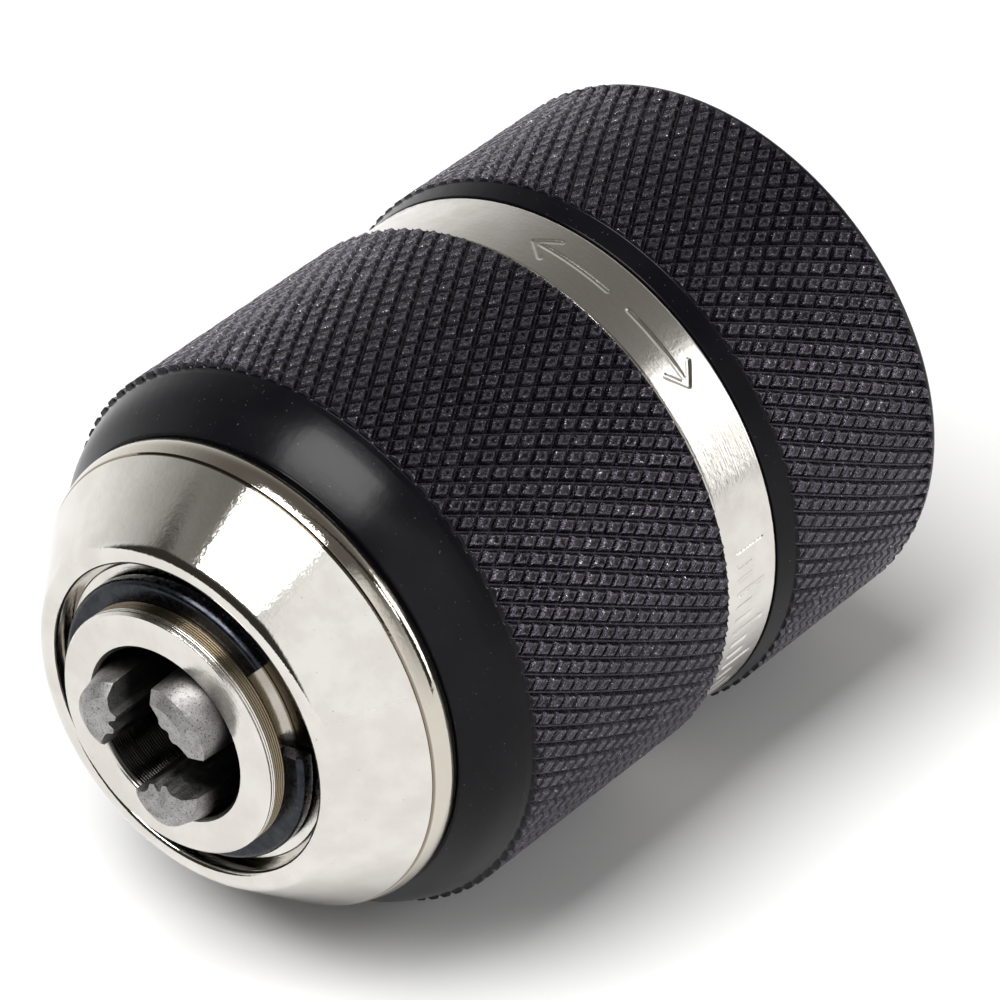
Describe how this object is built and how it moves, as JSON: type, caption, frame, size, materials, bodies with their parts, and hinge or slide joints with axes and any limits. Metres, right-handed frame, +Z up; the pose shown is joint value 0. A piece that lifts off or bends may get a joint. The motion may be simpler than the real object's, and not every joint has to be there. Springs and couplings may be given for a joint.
{
  "type": "keyless drill chuck",
  "caption": "Keyless drill chuck with a knurled black front and rear sleeve, a polished nose cap, a bright band and three self-centring jaws moved by a split nut.",
  "frame": {"origin": "middle of the mouth of the spindle thread, on the rear seat face of the chuck body", "axes": "+Y runs along the chuck axis out of the rear, so the jaws point to -Y; +Z is up with the chuck lying on its side, as in the picture"},
  "size_m": [0.0432, 0.0639, 0.0432],
  "materials": {
    "nickel_body": "bright nickel plate, turned, faint pits",
    "nickel_cap": "polished nickel plate",
    "nickel_band": "nickel plate, lightly brushed round the band",
    "nickel_washer": "polished nickel plate",
    "black_front": "satin black oxide over a diamond knurl and a smooth shoulder",
    "black_rear": "satin black oxide over a diamond knurl",
    "black_ring": "blued spring steel",
    "jaw_steel": "grey bead-blasted steel",
    "nut_steel": "oiled machined steel",
    "collar_steel": "machined steel",
    "bearing_steel": "ground bearing steel",
    "ball_steel": "polished bearing balls",
    "cage_brass": "stamped brass"
  },
  "bodies": {
    "chuck_body": {"body": "nickel_body", "rear_sleeve": "black_rear", "band": "nickel_band", "race_rear": "bearing_steel", "retaining_washer": "nickel_washer", "snap_ring": "black_ring"},
    "front_sleeve_set": {"front_sleeve": "black_front", "nose_cap": "nickel_cap", "nut_collar": "collar_steel", "nut_half_1": "nut_steel", "nut_half_2": "nut_steel", "race_front": "bearing_steel"},
    "jaw_1": {"jaw_1": "jaw_steel"},
    "jaw_2": {"jaw_2": "jaw_steel"},
    "jaw_3": {"jaw_3": "jaw_steel"},
    "ball_cage_set": {"ball_cage": "cage_brass", "bearing_balls": "ball_steel"}
  },
  "joints": [
    {"name": "sleeve_spin", "type": "hinge", "parent": "chuck_body", "child": "front_sleeve_set", "pos_m": [0, -0.04, 0], "axis": [0, 1, 0], "range_deg": [-3082.5, 1687.5]},
    {"name": "jaw_1_slide", "type": "slide", "parent": "chuck_body", "child": "jaw_1", "axis": [-0.1681, -0.9659, -0.1968], "range_m": [-0.01375, 0.00755]},
    {"name": "jaw_2_slide", "type": "slide", "parent": "chuck_body", "child": "jaw_2", "axis": [-0.0864, -0.9659, 0.244], "range_m": [-0.01375, 0.00755]},
    {"name": "jaw_3_slide", "type": "slide", "parent": "chuck_body", "child": "jaw_3", "axis": [0.2545, -0.9659, -0.0472], "range_m": [-0.01375, 0.00755]},
    {"name": "cage_spin", "type": "hinge", "parent": "chuck_body", "child": "ball_cage_set", "pos_m": [0, -0.03575, 0], "axis": [0, 1, 0], "range_deg": [-1543.25, 845.75]}
  ],
  "couplings": [
    {"joint": "jaw_1_slide", "follows": "sleeve_spin", "m_per_rad": 0.00025465},
    {"joint": "jaw_2_slide", "follows": "sleeve_spin", "m_per_rad": 0.00025465},
    {"joint": "jaw_3_slide", "follows": "sleeve_spin", "m_per_rad": 0.00025465},
    {"joint": "cage_spin", "follows": "sleeve_spin", "ratio": 0.5}
  ]
}
